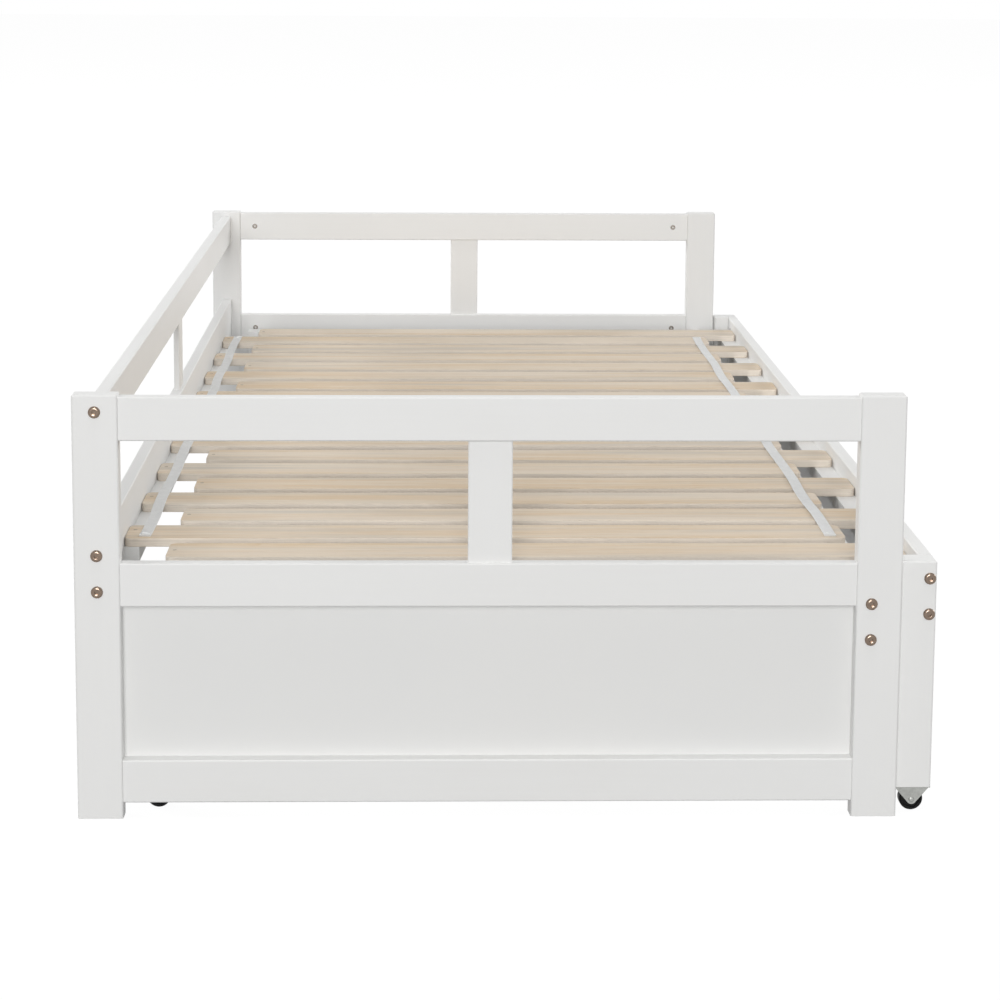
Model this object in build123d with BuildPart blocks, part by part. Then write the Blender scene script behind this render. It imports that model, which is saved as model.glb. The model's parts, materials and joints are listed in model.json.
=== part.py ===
"""Extendable daybed: a fixed frame, and a rolling pull-out whose slats slide between the fixed ones.

The model is in millimetres. +X is the front, the way the pull-out rolls. +Y runs along the bed, from the
foot end to the head end. +Z is up. The origin is on the floor under the middle of the closed bed.
"""

import os

from build123d import *

# Overall sizes of the fixed frame
bed_length = 2000.0
frame_width = 1029.0
bed_height = 540.0

# Sections of the timber
leg_width = 57.0
leg_depth = 25.0
pullout_leg_width = 45.0
pullout_leg_depth = 35.0
rail_thickness = 18.0
narrow_rail_height = 55.0
deep_rail_height = 88.0
pullout_rail_height = 115.0
stile_width = 55.0
stile_thickness = 9.0
panel_thickness = 5.0
ledger_size = 20.0
pullout_ledger_width = 28.0
slat_width = 70.0
slat_thickness = 12.0
leg_rounding = 3.0
leg_top_chamfer = 2.0
rail_chamfer = 1.5
slat_corner_radius = 9.0

# Heights above the floor, and drops below the tops of the legs
end_rail_drop = 3.0
rear_top_rail_drop = 9.0
middle_rail_top = 327.5
bottom_rail_base = 20.0
rear_side_rail_top = 360.0
pullout_top = 327.5
deck_height = 298.0

# Places across and along the bed
end_rail_recess = 2.0
front_beam_setback = 38.0
front_beam_overlap = 11.0
pullout_end_recess = 12.0
pullout_side_gap = 10.0

# Slat sets, and the webbing straps that space the fixed one
slat_pitch = 192.0
fixed_slat_count = 9
sliding_slat_count = 10
strap_width = 16.0
strap_thickness = 1.2
strap_end_inset = 8.0
strap_slope_length = 9.0
fixed_strap_inset = 26.0
fixed_strap_sag = 1.0
front_strap_inset = 20.0
front_strap_lift = 0.8

# Joinery inside the frames
tenon_length = 15.0
tenon_thickness = 8.0
tenon_shoulder = 8.0
stile_tenon_length = 12.0
panel_lap = 6.0

# Connecting bolts, drawn with flat sides
bolt_sides = 12
bolt_radius = 3.0
bolt_length = 75.0
bolt_head_radius = 7.5
bolt_head_height = 3.5
bolt_head_chamfer = 2.2
bolt_pitch = 46.0
bolt_from_top = 22.0
single_bolt_from_top = 12.5

# Rigid casters
wheel_radius = 15.0
wheel_width = 16.0
wheel_top_clearance = 2.2
axle_radius = 2.5
axle_end_proud = 1.0
caster_plate_length = 45.0
caster_plate_width = 30.0
caster_steel = 1.8
cheek_tip_radius = 6.0

# Clearances
slide_clearance = 0.3
pullout_gap = 1.0
slat_end_gap = 0.5
joint_clearance = 0.15
bolt_hole_clearance = 0.25
axle_clearance = 0.05
axle_seat_clearance = 0.1
wheel_side_clearance = 0.8

# Planes across the bed, from the rear face to the front face
overall_width = frame_width + pullout_gap + pullout_leg_width
rear_face = -overall_width / 2
frame_front = rear_face + frame_width
pullout_front = overall_width / 2
rear_leg_inner = rear_face + leg_width
front_leg_inner = frame_front - leg_width
end_middle = (rear_leg_inner + front_leg_inner) / 2
rear_rail = (rear_face + (leg_width - rail_thickness) / 2, rear_face + (leg_width + rail_thickness) / 2)
front_beam = (frame_front - front_beam_setback - rail_thickness / 2,
              frame_front - front_beam_setback + rail_thickness / 2)
pullout_rail = (pullout_front - rail_thickness, pullout_front)
pullout_front_leg = (pullout_front - pullout_leg_width, pullout_front)
fixed_slat_rear = rear_rail[1] + slat_end_gap
slat_length = front_beam[0] + front_beam_overlap - fixed_slat_rear
sliding_slat_rear = pullout_rail[0] - slat_end_gap - slat_length
rear_beam = (sliding_slat_rear, sliding_slat_rear + rail_thickness)
pullout_rear_leg = (rear_beam[1] - pullout_leg_width, rear_beam[1])

# Distances from the middle of the length to the planes that repeat at both ends
end_face = bed_length / 2
leg_inner = end_face - leg_depth
end_rail_outer = end_face - end_rail_recess
end_rail_inner = end_rail_outer - rail_thickness
end_rail_middle = end_rail_outer - rail_thickness / 2
pullout_leg_outer = end_face - pullout_end_recess
pullout_leg_inner = pullout_leg_outer - pullout_leg_depth
pullout_rear_leg_outer = end_rail_inner - pullout_side_gap
pullout_rear_leg_inner = pullout_rear_leg_outer - pullout_leg_depth

# Levels of the deck: the sliding slats clear the front beam, and the fixed slats clear the sliding beam
sliding_slat_base = deck_height + slide_clearance
fixed_slat_base = sliding_slat_base + slide_clearance

# The pull-out's legs stand on the plates of the casters
pullout_leg_base = 2 * wheel_radius + wheel_top_clearance + caster_steel

# Ranges of height of the rails
end_top_heights = (bed_height - end_rail_drop - narrow_rail_height, bed_height - end_rail_drop)
middle_heights = (middle_rail_top - narrow_rail_height, middle_rail_top)
bottom_heights = (bottom_rail_base, bottom_rail_base + narrow_rail_height)
panel_heights = (bottom_heights[1] - panel_lap, middle_heights[0] + panel_lap)
rear_top_heights = (bed_height - rear_top_rail_drop - narrow_rail_height, bed_height - rear_top_rail_drop)
rear_side_heights = (rear_side_rail_top - deep_rail_height, rear_side_rail_top)
front_beam_heights = (deck_height - deep_rail_height, deck_height)
pullout_rail_heights = (pullout_top - pullout_rail_height, pullout_top)
rear_beam_heights = (sliding_slat_base - deep_rail_height, sliding_slat_base)

# Heights of the bolts, from the rails that they hold
bolt_hole_radius = bolt_radius + bolt_hole_clearance
rear_top_bolts = [rear_top_heights[1] - single_bolt_from_top]
rear_side_bolts = [rear_side_heights[1] - bolt_from_top - row * bolt_pitch for row in range(2)]
front_beam_bolts = [front_beam_heights[1] - bolt_from_top - row * bolt_pitch for row in range(2)]
pullout_bolts = [pullout_rail_heights[1] - bolt_from_top - row * bolt_pitch for row in range(2)]

# Middles of the slats along the bed
fixed_slats = [(place - (fixed_slat_count - 1) / 2) * slat_pitch for place in range(fixed_slat_count)]
sliding_slats = [(place - (sliding_slat_count - 1) / 2) * slat_pitch for place in range(sliding_slat_count)]

ends = {"foot": -1, "head": 1}


def save(piece, label):
    """Labels a finished piece and writes it to its own file."""
    piece.part.label = label
    export_step(piece.part, f"parts/{label}.step")


def middle(extent):
    """The middle of a range."""
    return (extent[0] + extent[1]) / 2


def along(end, near, far):
    """The range along the bed between two distances from its middle, at one end."""
    return sorted((end * near, end * far))


def about(place, size):
    """The range of a given size about a place."""
    return (place - size / 2, place + size / 2)


def block(x, y, z, mode=Mode.ADD):
    """Adds or cuts a block that fills three ranges."""
    with Locations((middle(x), middle(y), middle(z))):
        Box(x[1] - x[0], y[1] - y[0], z[1] - z[0], mode=mode)


def mortise(x, y, z):
    """Cuts a slot for what fills these ranges, with the clearance of a joint round it."""
    slot = [(low - joint_clearance, high + joint_clearance) for low, high in (x, y, z)]
    block(*slot, mode=Mode.SUBTRACT)


def bolt_holes(x, y, heights):
    """Bores holes for connecting bolts along the bed."""
    with BuildSketch(Plane(origin=(x, y[1], 0), x_dir=(1, 0, 0), z_dir=(0, -1, 0))) as holes:
        with Locations(*[(0, z) for z in heights]):
            RegularPolygon(bolt_hole_radius, bolt_sides)
    extrude(holes.sketch, amount=y[1] - y[0], mode=Mode.SUBTRACT)


def tenon_heights(heights):
    """The range of height of the tenons on a rail."""
    return (heights[0] + tenon_shoulder, heights[1] - tenon_shoulder)


def in_end_rail(end, thickness):
    """The range along the bed of what sits in the middle of an end rail's thickness."""
    return about(end * end_rail_middle, thickness)


def behind_end_rail(end, thickness):
    """The range along the bed of what lies on the back of an end rail."""
    return along(end, end_rail_inner - thickness, end_rail_inner)


def end_leg(end, side):
    """A leg with holes for its bolts, mortises for the end rails and a rebate for the panel."""
    inner, outer = (front_leg_inner, frame_front) if side > 0 else (rear_leg_inner, rear_face)
    bolt_x = middle(front_beam) if side > 0 else middle(rear_rail)
    bolts = front_beam_bolts if side > 0 else rear_top_bolts + rear_side_bolts
    depth = along(end, leg_inner, end_face)
    with BuildPart() as leg:
        block(sorted((inner, outer)), depth, (0, bed_height))
        chamfer(leg.faces().sort_by(Axis.Z)[-1].edges(), leg_top_chamfer)
        fillet(leg.edges().filter_by(Axis.Z), leg_rounding)
        bolt_holes(bolt_x, depth, bolts)
        for heights in (end_top_heights, middle_heights, bottom_heights):
            seat = sorted((inner, inner + side * tenon_length))
            mortise(seat, in_end_rail(end, tenon_thickness), tenon_heights(heights))
        rebate = sorted((inner, inner + side * panel_lap))
        mortise(rebate, behind_end_rail(end, panel_thickness), panel_heights)
    return leg


def end_rail(end, heights, panel_edge=None, stile_edge=None):
    """A rail tenoned into two legs. Its edges, 0 below and 1 above, may meet the panel or take the stile."""
    shoulders = (rear_leg_inner, front_leg_inner)
    stile_tenon = about(end_middle, stile_width - 2 * tenon_shoulder)
    into_wood = {0: 1, 1: -1}
    with BuildPart() as rail:
        block(shoulders, along(end, end_rail_inner, end_rail_outer), heights)
        eased = rail.edges().filter_by(Axis.X)
        if panel_edge is not None:
            eased = eased.sort_by_distance((end_middle, end * end_rail_inner, heights[panel_edge]))[1:]
        chamfer(eased, rail_chamfer)
        tenons = (shoulders[0] - tenon_length, shoulders[1] + tenon_length)
        block(tenons, in_end_rail(end, tenon_thickness), tenon_heights(heights))
        if stile_edge is not None:
            edge = heights[stile_edge]
            slot = sorted((edge, edge + into_wood[stile_edge] * stile_tenon_length))
            mortise(stile_tenon, in_end_rail(end, tenon_thickness), slot)
    return rail


def panel(end):
    """A thin panel that lies on the backs of two rails, in the rebates of two legs."""
    across = (rear_leg_inner - panel_lap, front_leg_inner + panel_lap)
    with BuildPart() as board:
        block(across, behind_end_rail(end, panel_thickness), panel_heights)
    return board


def end_stile(end):
    """An upright in the middle of an end, tenoned into the top rail and the middle rail."""
    heights = (middle_heights[1], end_top_heights[0])
    tenons = (heights[0] - stile_tenon_length, heights[1] + stile_tenon_length)
    with BuildPart() as stile:
        block(about(end_middle, stile_width), in_end_rail(end, stile_thickness), heights)
        chamfer(stile.edges().filter_by(Axis.Z), rail_chamfer)
        tenon = about(end_middle, stile_width - 2 * tenon_shoulder)
        block(tenon, in_end_rail(end, tenon_thickness), tenons)
    return stile


def rear_stile():
    """An upright in the middle of the rear side, tenoned into both rear rails."""
    heights = (rear_side_heights[1], rear_top_heights[0])
    tenons = (heights[0] - stile_tenon_length, heights[1] + stile_tenon_length)
    with BuildPart() as stile:
        block(about(middle(rear_rail), stile_thickness), about(0, stile_width), heights)
        chamfer(stile.edges().filter_by(Axis.Z), rail_chamfer)
        block(about(middle(rear_rail), tenon_thickness), about(0, stile_width - 2 * tenon_shoulder), tenons)
    return stile


def bolted_rail(x, half_length, heights, bolts, through, stile_edge=None):
    """A rail along the bed between two legs, bored at its ends for the bolts that come through them."""
    bore = bolt_length - through + bolt_hole_clearance
    into_wood = {0: 1, 1: -1}
    with BuildPart() as rail:
        block(x, (-half_length, half_length), heights)
        chamfer(rail.edges().filter_by(Axis.Y), rail_chamfer)
        for end in ends.values():
            bolt_holes(middle(x), along(end, half_length - bore, half_length), bolts)
        if stile_edge is not None:
            edge = heights[stile_edge]
            slot = sorted((edge, edge + into_wood[stile_edge] * stile_tenon_length))
            stile_tenon = about(0, stile_width - 2 * tenon_shoulder)
            mortise(about(middle(x), tenon_thickness), stile_tenon, slot)
    return rail


def sliding_beam():
    """The beam under the free ends of the sliding slats, tenoned into the rear legs of the pull-out."""
    half_length = pullout_rear_leg_inner
    with BuildPart() as beam:
        block(rear_beam, (-half_length, half_length), rear_beam_heights)
        chamfer(beam.edges().filter_by(Axis.Y), rail_chamfer)
        tenons = (-half_length - tenon_length, half_length + tenon_length)
        block(about(middle(rear_beam), tenon_thickness), tenons, tenon_heights(rear_beam_heights))
    return beam


def ledger(x, slats, top):
    """A bar under one end of a set of slats, from the first slat to the last."""
    with BuildPart() as bar:
        block(x, (slats[0] - slat_width / 2, slats[-1] + slat_width / 2), (top - ledger_size, top))
    return bar


def pullout_front_leg_at(end):
    """A front leg of the pull-out, bored for the bolts of the front rail."""
    depth = along(end, pullout_leg_inner, pullout_leg_outer)
    with BuildPart() as leg:
        block(pullout_front_leg, depth, (pullout_leg_base, pullout_top))
        chamfer(leg.faces().sort_by(Axis.Z)[-1].edges(), leg_top_chamfer)
        fillet(leg.edges().filter_by(Axis.Z), leg_rounding)
        bolt_holes(middle(pullout_rail), depth, pullout_bolts)
    return leg


def pullout_rear_leg_at(end):
    """A rear leg of the pull-out, with the mortise of the sliding beam."""
    depth = along(end, pullout_rear_leg_inner, pullout_rear_leg_outer)
    seat = along(end, pullout_rear_leg_inner, pullout_rear_leg_inner + tenon_length)
    with BuildPart() as leg:
        block(pullout_rear_leg, depth, (pullout_leg_base, rear_beam_heights[1]))
        chamfer(leg.edges().filter_by(Axis.Z), rail_chamfer)
        mortise(about(middle(rear_beam), tenon_thickness), seat, tenon_heights(rear_beam_heights))
    return leg


def slat(rear, place, base):
    """A slat across the bed with rounded corners."""
    with BuildPart() as board:
        block((rear, rear + slat_length), about(place, slat_width), (base, base + slat_thickness))
        fillet(board.edges().filter_by(Axis.Z), slat_corner_radius)
    return board


def strap(x, slats, base, rise):
    """A webbing strap that lies on each slat of a set, and rises or sags a little between them."""
    lower = []
    for place in slats:
        near, far = about(place, slat_width)
        if place == slats[0]:
            near += strap_end_inset
        else:
            lower.append((near - strap_slope_length, base + rise))
        if place == slats[-1]:
            far -= strap_end_inset
        lower += [(near, base), (far, base)]
        if place != slats[-1]:
            lower.append((far + strap_slope_length, base + rise))
    upper = [(y, z + strap_thickness) for y, z in reversed(lower)]
    with BuildPart() as webbing:
        with BuildSketch(Plane.YZ.offset(x[0])):
            with BuildLine():
                Polyline(*lower, *upper, close=True)
            make_face()
        extrude(amount=x[1] - x[0])
    return webbing


def connecting_bolts(places):
    """Bolts with low heads. A place is an end, the head's seat along the bed, and the bolt's x and z."""
    with BuildPart() as group:
        for end, seat, x, z in places:
            face = Plane(origin=(x, end * seat, z), x_dir=(1, 0, 0), z_dir=(0, end, 0))
            with BuildSketch(face):
                RegularPolygon(bolt_head_radius, bolt_sides)
            head = extrude(amount=bolt_head_height)
            chamfer(head.faces().sort_by(Axis.Y)[-1 if end > 0 else 0].edges(), bolt_head_chamfer)
            with BuildSketch(face):
                RegularPolygon(bolt_radius, bolt_sides)
            extrude(amount=-bolt_length)
    return group


def caster_bracket(x, y):
    """A bent steel bracket: a plate under the leg and two cheeks that taper to the axle."""
    plate = (pullout_leg_base - caster_steel, pullout_leg_base)
    with BuildPart() as bracket:
        block(about(x, caster_plate_length), about(y, caster_plate_width), plate)
        for side in (-1, 1):
            inner = y + side * (wheel_width / 2 + wheel_side_clearance)
            with BuildSketch(Plane(origin=(x, inner, 0), x_dir=(1, 0, 0), z_dir=(0, -1, 0))):
                with Locations((0, wheel_radius)):
                    Circle(cheek_tip_radius)
                with Locations((0, middle(plate))):
                    Rectangle(caster_plate_length, caster_steel)
                make_hull()
                with Locations((0, wheel_radius)):
                    Circle(axle_radius + axle_seat_clearance, mode=Mode.SUBTRACT)
            extrude(amount=-side * caster_steel)
    return bracket


def caster_wheel(x, y):
    """A solid wheel with a bore that runs on the axle."""
    face = Plane(origin=(x, y - wheel_width / 2, wheel_radius), x_dir=(1, 0, 0), z_dir=(0, 1, 0))
    with BuildPart() as roller:
        with BuildSketch(face):
            Circle(wheel_radius)
            Circle(axle_radius + axle_clearance, mode=Mode.SUBTRACT)
        extrude(amount=wheel_width)
    return roller


def caster_axles(places):
    """Axle pins that stand a little proud of both cheeks of their brackets."""
    grip = wheel_width / 2 + wheel_side_clearance + caster_steel + axle_end_proud
    with BuildPart() as group:
        with Locations(*[(x, y, wheel_radius) for x, y in places]):
            Cylinder(axle_radius, 2 * grip, rotation=(90, 0, 0))
    return group


os.makedirs("parts", exist_ok=True)

# End frames
for name, end in ends.items():
    save(end_leg(end, side=-1), f"{name}_rear_leg")
    save(end_leg(end, side=1), f"{name}_front_leg")
    save(end_rail(end, end_top_heights, stile_edge=0), f"{name}_top_rail")
    save(end_stile(end), f"{name}_stile")
    save(end_rail(end, middle_heights, panel_edge=0, stile_edge=1), f"{name}_middle_rail")
    save(panel(end), f"{name}_panel")
    save(end_rail(end, bottom_heights, panel_edge=1), f"{name}_bottom_rail")

# Rear side and front beam
save(bolted_rail(rear_rail, leg_inner, rear_top_heights, rear_top_bolts, leg_depth, 0), "rear_top_rail")
save(rear_stile(), "rear_stile")
save(bolted_rail(rear_rail, leg_inner, rear_side_heights, rear_side_bolts, leg_depth, 1), "rear_side_rail")
save(ledger((rear_rail[1], rear_rail[1] + ledger_size), fixed_slats, fixed_slat_base), "rear_ledger")
save(bolted_rail(front_beam, leg_inner, front_beam_heights, front_beam_bolts, leg_depth), "front_beam")
save(ledger((front_beam[0] - ledger_size, front_beam[0]), fixed_slats, deck_height), "front_ledger")

# Fixed deck
for number, place in enumerate(fixed_slats, start=1):
    save(slat(fixed_slat_rear, place, fixed_slat_base), f"fixed_slat_{number}")
fixed_slat_top = fixed_slat_base + slat_thickness
fixed_strap_x = about(fixed_slat_rear + fixed_strap_inset, strap_width)
save(strap(fixed_strap_x, fixed_slats, fixed_slat_top, -fixed_strap_sag), "fixed_strap")
front_strap_x = about(fixed_slat_rear + slat_length - front_strap_inset, strap_width)
save(strap(front_strap_x, fixed_slats, fixed_slat_top, front_strap_lift), "front_strap")

# Pull-out frame
for name, end in ends.items():
    save(pullout_front_leg_at(end), f"{name}_pullout_front_leg")
    save(pullout_rear_leg_at(end), f"{name}_pullout_rear_leg")
front_rail = bolted_rail(
    pullout_rail, pullout_leg_inner, pullout_rail_heights, pullout_bolts, pullout_leg_depth
)
save(front_rail, "pullout_front_rail")
pullout_ledger_x = (pullout_rail[0] - pullout_ledger_width, pullout_rail[0])
save(ledger(pullout_ledger_x, sliding_slats, sliding_slat_base), "pullout_ledger")
save(sliding_beam(), "pullout_rear_beam")

# Sliding deck
for number, place in enumerate(sliding_slats, start=1):
    save(slat(sliding_slat_rear, place, sliding_slat_base), f"sliding_slat_{number}")

# Bolts
frame_places = []
pullout_places = []
for end in ends.values():
    frame_places += [(end, end_face, middle(rear_rail), z) for z in rear_top_bolts + rear_side_bolts]
    frame_places += [(end, end_face, middle(front_beam), z) for z in front_beam_bolts]
    pullout_places += [(end, pullout_leg_outer, middle(pullout_rail), z) for z in pullout_bolts]
save(connecting_bolts(frame_places), "frame_bolts")
save(connecting_bolts(pullout_places), "pullout_bolts")

# Casters
front_leg_y = (pullout_leg_outer + pullout_leg_inner) / 2
rear_leg_y = (pullout_rear_leg_outer + pullout_rear_leg_inner) / 2
casters = {}
for name, end in ends.items():
    casters[f"{name}_front"] = (middle(pullout_front_leg), end * front_leg_y)
    casters[f"{name}_rear"] = (middle(pullout_rear_leg), end * rear_leg_y)
for name, (x, y) in casters.items():
    save(caster_bracket(x, y), f"{name}_caster_bracket")
    save(caster_wheel(x, y), f"{name}_caster_wheel")
save(caster_axles(casters.values()), "caster_axles")
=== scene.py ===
"""Looks for a white slatted daybed with a rolling pull-out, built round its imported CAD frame.

Everything is in metres. +X is the front, the way the pull-out rolls, +Y runs from the foot end to the head
end, and +Z is up. Painted timber and caster brackets keep their CAD shapes and get finishes; slats, straps,
bolts, axles and wheels are made again with finer shapes, where the CAD nodes are.
"""

import json
import math

import bmesh
import bpy
from bpy.props import FloatProperty, FloatVectorProperty, IntProperty, PointerProperty
from mathutils import Matrix, Vector

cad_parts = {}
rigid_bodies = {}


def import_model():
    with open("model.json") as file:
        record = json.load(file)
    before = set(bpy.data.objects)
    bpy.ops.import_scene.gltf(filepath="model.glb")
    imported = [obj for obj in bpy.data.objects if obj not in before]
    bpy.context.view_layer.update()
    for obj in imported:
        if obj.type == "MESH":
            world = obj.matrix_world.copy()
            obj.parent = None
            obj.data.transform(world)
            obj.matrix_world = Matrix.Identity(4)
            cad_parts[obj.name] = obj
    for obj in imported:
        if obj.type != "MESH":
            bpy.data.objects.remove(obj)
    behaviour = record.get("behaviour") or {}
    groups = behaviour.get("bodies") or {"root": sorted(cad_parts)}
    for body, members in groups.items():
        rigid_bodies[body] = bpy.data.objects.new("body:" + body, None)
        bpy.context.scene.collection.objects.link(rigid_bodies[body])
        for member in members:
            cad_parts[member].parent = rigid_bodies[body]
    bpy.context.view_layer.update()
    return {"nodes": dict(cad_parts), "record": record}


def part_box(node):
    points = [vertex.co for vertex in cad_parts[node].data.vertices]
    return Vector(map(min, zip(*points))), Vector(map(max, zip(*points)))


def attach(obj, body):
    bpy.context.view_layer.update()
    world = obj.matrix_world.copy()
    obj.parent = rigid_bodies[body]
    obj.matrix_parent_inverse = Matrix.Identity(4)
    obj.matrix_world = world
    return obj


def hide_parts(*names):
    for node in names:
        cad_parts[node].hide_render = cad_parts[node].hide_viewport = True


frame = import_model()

bl_info = {
    "name": "Extendable daybed",
    "version": (1, 0, 0),
    "blender": (4, 5, 0),
    "location": "View3D > Sidebar > Daybed",
    "description": "Finishes, slats, straps and hardware of a daybed with a rolling pull-out",
    "category": "Object",
}

MERGE_DISTANCE = 1e-5
TURNED_SIDES = 36
SHARP_ANGLE = math.radians(20)
FULL_TURN = 2 * math.pi
UP = Vector((0, 0, 1))
WHITE = (1.0, 1.0, 1.0, 1.0)
ENDS = {"foot": -1, "head": 1}
DECKS = {"fixed": "frame", "sliding": "pullout"}
STRAPS = ("fixed_strap", "front_strap")
LONG_RAILS = {
    "frame": ("rear_top_rail", "rear_side_rail", "front_beam"),
    "pullout": ("pullout_front_rail",),
}
CASTERS = [f"{end}_{side}" for end in ENDS for side in ("front", "rear")]

# Where each lamp's light comes from, and how wide and how high the lamp looks from the bed
LAMPS = {
    "foot_lamp": ((-0.06, -1.0, 0.28), math.radians(20), math.radians(30)),
    "rear_lamp": ((-1.0, 0.55, 0.4), math.radians(22), math.radians(22)),
    "front_lamp": ((1.0, 0.55, 0.4), math.radians(22), math.radians(22)),
    "top_lamp": ((0.0, -0.15, 1.0), math.radians(16), math.radians(16)),
}


# Settings


def colour(name, description, default):
    """A colour setting, in linear values."""
    return FloatVectorProperty(
        name=name, description=description, default=(*default, 1.0), size=4, min=0, max=1, subtype="COLOR"
    )


def length(name, description, default):
    """A length setting, in metres."""
    return FloatProperty(
        name=name, description=description, default=default, min=0, precision=4, unit="LENGTH"
    )


def share(name, description, default):
    """A setting from 0 to 1."""
    return FloatProperty(
        name=name, description=description, default=default, min=0, max=1, subtype="FACTOR"
    )


def strength(name, description, default):
    """A setting for the strength of a light."""
    return FloatProperty(name=name, description=description, default=default, min=0)


class TimberSettings(bpy.types.PropertyGroup):
    """White paint on the frame and the pull-out."""

    paint: colour("Paint", "Satin white paint", (0.82, 0.82, 0.81))
    thin_paint: colour("Thin paint", "Tone where the paint is a little thinner", (0.79, 0.785, 0.77))
    board_paint: colour("Board paint", "Duller white of the panels", (0.775, 0.775, 0.765))
    roughness: share("Roughness", "Roughness of the dry paint", 0.42)
    grain_depth: length("Grain depth", "Height of the grain that shows through the paint", 0.00006)


class SlatSettings(bpy.types.PropertyGroup):
    """Bare lacquered slats of both decks."""

    pale_wood: colour("Pale wood", "Cream streaks of early wood", (0.76, 0.665, 0.55))
    tan_wood: colour("Tan wood", "Tan bands of late wood", (0.697, 0.542, 0.37))
    grey_wood: colour("Grey wood", "Weathered streaks", (0.59, 0.543, 0.478))
    # The slats' sides are painted paler than the tops: painted light on their near faces, not a paler
    # planed surface
    painted_lit_side_wood: colour("Side wood", "Planed sides, paler than the tops", (0.82, 0.75, 0.665))
    corner_radius: length("Corner radius", "Rounding of the slat ends in plan", 0.009)
    edge_ease: length("Edge ease", "Easing of the long edges", 0.0009)
    seed: IntProperty(name="Seed", description="Which plank each slat is cut from", default=7)


class StrapSettings(bpy.types.PropertyGroup):
    """Webbing straps that hold the slats at their spacing."""

    webbing: colour("Webbing", "Pale grey webbing", (0.79, 0.795, 0.79))
    thickness: length("Thickness", "Thickness of one ply", 0.0012)
    fold: length("Fold", "Length of the hem turned under at each end", 0.016)
    fold_rise: length("Fold rise", "Extra height of the hem", 0.0006)
    thread: length("Thread", "Width of one thread", 0.0011)
    wander: length("Wander", "How far a strap strays from a straight line", 0.0012)


class FastenerSettings(bpy.types.PropertyGroup):
    """Bolts, barrel nuts, screws and staples."""

    nickel: colour("Nickel", "Brown plating of the bolts", (0.235, 0.178, 0.14))
    screw_steel: colour("Screw steel", "Brown plated steel of the slat screws", (0.45, 0.38, 0.30))
    nut_steel: colour("Nut steel", "Grey plating of the barrel nuts", (0.29, 0.265, 0.24))
    staple_steel: colour("Staple steel", "Pale wire of the staples", (0.66, 0.66, 0.65))
    bolt_head: length("Bolt head", "Height of a domed bolt head", 0.0035)
    bolt_shank: length("Bolt shank", "Radius of a bolt's shank", 0.003)
    bolt_socket: length("Bolt socket", "Corner radius of a hexagon socket", 0.0029)
    nut_radius: length("Nut radius", "Radius of a barrel nut's face", 0.005)
    nut_from_leg: length("Nut from leg", "Distance from a leg to a barrel nut", 0.029)
    screw_radius: length("Screw radius", "Radius of a slat screw's head", 0.0028)
    screw_offset: length("Screw offset", "From a fixed slat's middle line to its screw", 0.010)
    staple: length("Staple", "Length of a staple's crown", 0.011)
    seed: IntProperty(name="Seed", description="How each head happens to be turned", default=3)


class CasterSettings(bpy.types.PropertyGroup):
    """Rigid casters under the pull-out."""

    zinc: colour("Zinc", "Plated steel of brackets and axles", (0.315, 0.32, 0.305))
    plastic: colour("Plastic", "Black plastic of the wheels", (0.004, 0.004, 0.004))
    tread_round: length("Tread rounding", "Rounding of the tread's edges", 0.003)
    recess: length("Recess", "Depth of the recess in a wheel's sides", 0.0016)
    hub_wall: length("Hub wall", "Wall of a wheel's hub", 0.0022)
    rim_wall: length("Rim wall", "Wall of a wheel's rim", 0.0032)
    bore_clearance: length("Bore clearance", "From an axle to the bore of its wheel", 0.0003)
    rivet_radius: length("Rivet radius", "Radius of an axle's upset head", 0.0038)
    rivet_height: length("Rivet height", "Height of an axle's upset head", 0.0016)


class StageSettings(bpy.types.PropertyGroup):
    """Camera, lights and floor."""

    camera_place: FloatVectorProperty(
        name="Camera",
        description="Where the camera stands",
        default=(-0.1065, -3.8834, 1.0962),
        unit="LENGTH",
    )
    camera_turn: FloatVectorProperty(
        name="Camera turn",
        description="Pitch below the horizon, roll, and yaw towards the front",
        default=(math.radians(7.789), math.radians(0.35), math.radians(1.488)),
        subtype="EULER",
    )
    lens: FloatProperty(name="Lens", description="Focal length in millimetres", default=86.04, min=1)
    shift: FloatVectorProperty(
        name="Shift", description="Shift of the lens", default=(0.015, -0.235), size=2
    )
    sky: strength("Sky", "Strength of the even light all round", 0.33)
    foot_lamp: strength("Foot lamp", "Strength of the lamp at the foot end", 1.71)
    rear_lamp: strength("Rear lamp", "Strength of the lamp at the rear", 1.5)
    front_lamp: strength("Front lamp", "Strength of the lamp at the front", 1.25)
    top_lamp: strength("Top lamp", "Strength of the lamp overhead", 0.55)
    lamp_distance: length("Lamp distance", "From the middle of the bed to each lamp", 16.0)
    floor_reach: length("Floor reach", "From the middle of the bed to the floor's sides", 30.0)
    floor_tone: share("Floor tone", "How much light the floor throws back at the bed", 0.3)
    shadow_tone: share("Shadow tone", "How strong the bed's shadow looks on the floor", 0.06)
    floor_glow: share("Floor glow", "How white the floor looks in full shadow", 0.965)


SETTINGS = {
    "timber": TimberSettings,
    "slats": SlatSettings,
    "straps": StrapSettings,
    "fasteners": FastenerSettings,
    "casters": CasterSettings,
    "stage": StageSettings,
}


class DaybedSettings(bpy.types.PropertyGroup):
    """All settings of the daybed."""

    timber: PointerProperty(type=TimberSettings)
    slats: PointerProperty(type=SlatSettings)
    straps: PointerProperty(type=StrapSettings)
    fasteners: PointerProperty(type=FastenerSettings)
    casters: PointerProperty(type=CasterSettings)
    stage: PointerProperty(type=StageSettings)


# Node trees


def add(tree, kind, inputs=None, **settings):
    """A new node: settings are its own properties, inputs its sockets' values or other nodes' outputs."""
    made = tree.nodes.new(kind)
    for key, value in settings.items():
        setattr(made, key, value)
    for key, value in (inputs or {}).items():
        if isinstance(value, bpy.types.NodeSocket):
            tree.links.new(value, made.inputs[key])
        else:
            made.inputs[key].default_value = value
    return made


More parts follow.
